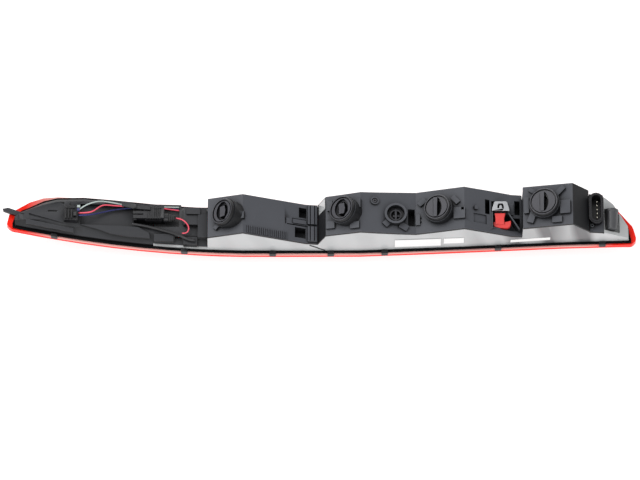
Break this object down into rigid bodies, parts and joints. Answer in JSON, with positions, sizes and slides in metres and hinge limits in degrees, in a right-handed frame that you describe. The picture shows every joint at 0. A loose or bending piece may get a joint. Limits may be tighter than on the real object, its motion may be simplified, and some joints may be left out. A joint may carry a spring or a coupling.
{
  "type": "vehicle rear brake light",
  "caption": "Long one-sided rear lamp for a car body: red bowed lens, grey tray, stepped black rear plates with twist-lock bulb holders, wiring end and plug socket.",
  "frame": {"origin": "under the middle of the lamp's box, on the surface that the lens lies on", "axes": "+X along the lamp towards the plug socket, +Z out of the rear of the lamp, towards the car body; -Y is the side with the labelled grey wall"},
  "size_m": [0.8816, 0.0834, 0.1118],
  "materials": {
    "red_lens": "glossy translucent red",
    "foam_gasket": "closed-cell foam, matt",
    "silver_grey": "glossy silver grey",
    "black_textured": "fine moulded texture",
    "holder_black": "satin moulded",
    "seal_rubber": "matt rubber",
    "bulb_glass": "clear",
    "reflector_bright": "metallised, bright",
    "zinc_steel": "zinc plated",
    "red_plastic": "satin red",
    "black_satin": "satin black",
    "brass_contact": "tin-flashed brass",
    "boot_rubber": "matt moulded rubber",
    "lead_blue": "satin insulation",
    "lead_red": "satin insulation",
    "lead_white": "satin insulation",
    "cable_black": "ribbed sleeve",
    "circuit_green": "solder mask",
    "guide_clear": "clear moulded",
    "label_paper": "printed label, left blank"
  },
  "bodies": {
    "lamp": {"outer_lens": "red_lens", "lens_gasket": "foam_gasket", "housing_tray": "silver_grey", "wiring_carrier": "black_textured", "inner_carrier": "black_textured", "middle_carrier": "black_textured", "outer_carrier": "black_textured", "end_cap": "black_textured", "end_shell": "silver_grey", "reflector_1": "reflector_bright", "reflector_2": "reflector_bright", "reflector_3": "reflector_bright", "reflector_4": "reflector_bright", "well_reflector": "reflector_bright", "rear_screw": "zinc_steel", "hood_bracket": "zinc_steel", "connector_header": "black_satin", "header_pins": "brass_contact", "breather_boot": "boot_rubber", "wing_panel": "black_textured", "led_socket": "black_satin", "inline_connector": "black_satin", "connector_seal": "seal_rubber", "lead_blue": "lead_blue", "lead_red": "lead_red", "lead_white": "lead_white", "lead_loop": "lead_red", "feed_cable": "cable_black", "led_board": "circuit_green", "light_guide": "guide_clear", "contact_strip": "brass_contact", "lens_clip_1": "black_textured", "lens_clip_2": "black_textured", "lens_clip_3": "black_textured", "lens_clip_4": "black_textured", "lens_clip_5": "black_textured", "lens_clip_6": "black_textured", "lens_clip_7": "black_textured", "label_1": "label_paper", "label_2": "label_paper", "label_3": "label_paper"},
    "holder_1": {"bulb_holder_1": "holder_black", "holder_seal_1": "seal_rubber", "bulb_1": "bulb_glass"},
    "holder_2": {"bulb_holder_2": "holder_black", "holder_seal_2": "seal_rubber", "bulb_2": "bulb_glass"},
    "holder_3": {"bulb_holder_3": "holder_black", "holder_seal_3": "seal_rubber", "bulb_3": "bulb_glass"},
    "holder_4": {"bulb_holder_4": "holder_black", "holder_seal_4": "seal_rubber", "bulb_4": "bulb_glass"},
    "open_holder": {"well_holder": "holder_black", "well_bulb": "bulb_glass"},
    "lock": {"lock_slide": "red_plastic"},
    "latch": {"connector_latch": "black_satin"}
  },
  "joints": [
    {"name": "holder_1_twist", "type": "hinge", "parent": "lamp", "child": "holder_1", "pos_m": [-0.13175, -0.00455, 0.091], "axis": [-0.6561, 0, 0.7547], "range_deg": [0, 45]},
    {"name": "holder_2_twist", "type": "hinge", "parent": "lamp", "child": "holder_2", "pos_m": [0.03265, -0.00325, 0.097], "axis": [-0.515, 0, 0.8572], "range_deg": [0, 45]},
    {"name": "holder_3_twist", "type": "hinge", "parent": "lamp", "child": "holder_3", "pos_m": [0.16395, -0.00075, 0.0965], "axis": [-0.342, 0, 0.9397], "range_deg": [0, 45]},
    {"name": "holder_4_twist", "type": "hinge", "parent": "lamp", "child": "holder_4", "pos_m": [0.31135, 0.00485, 0.102], "axis": [-0.2588, 0, 0.9659], "range_deg": [0, 45]},
    {"name": "open_holder_twist", "type": "hinge", "parent": "lamp", "child": "open_holder", "pos_m": [0.10585, -0.00695, 0.094], "axis": [0, 0, 1], "range_deg": [0, 45]},
    {"name": "lock_push", "type": "slide", "parent": "lamp", "child": "lock", "axis": [0, 1, 0], "range_m": [0, 0.0055]},
    {"name": "latch_lift", "type": "hinge", "parent": "lamp", "child": "latch", "pos_m": [-0.23915, 0.01705, 0.0582], "axis": [0, 1, 0], "range_deg": [0, 6], "stiffness_Nm_per_rad": 0.02}
  ]
}
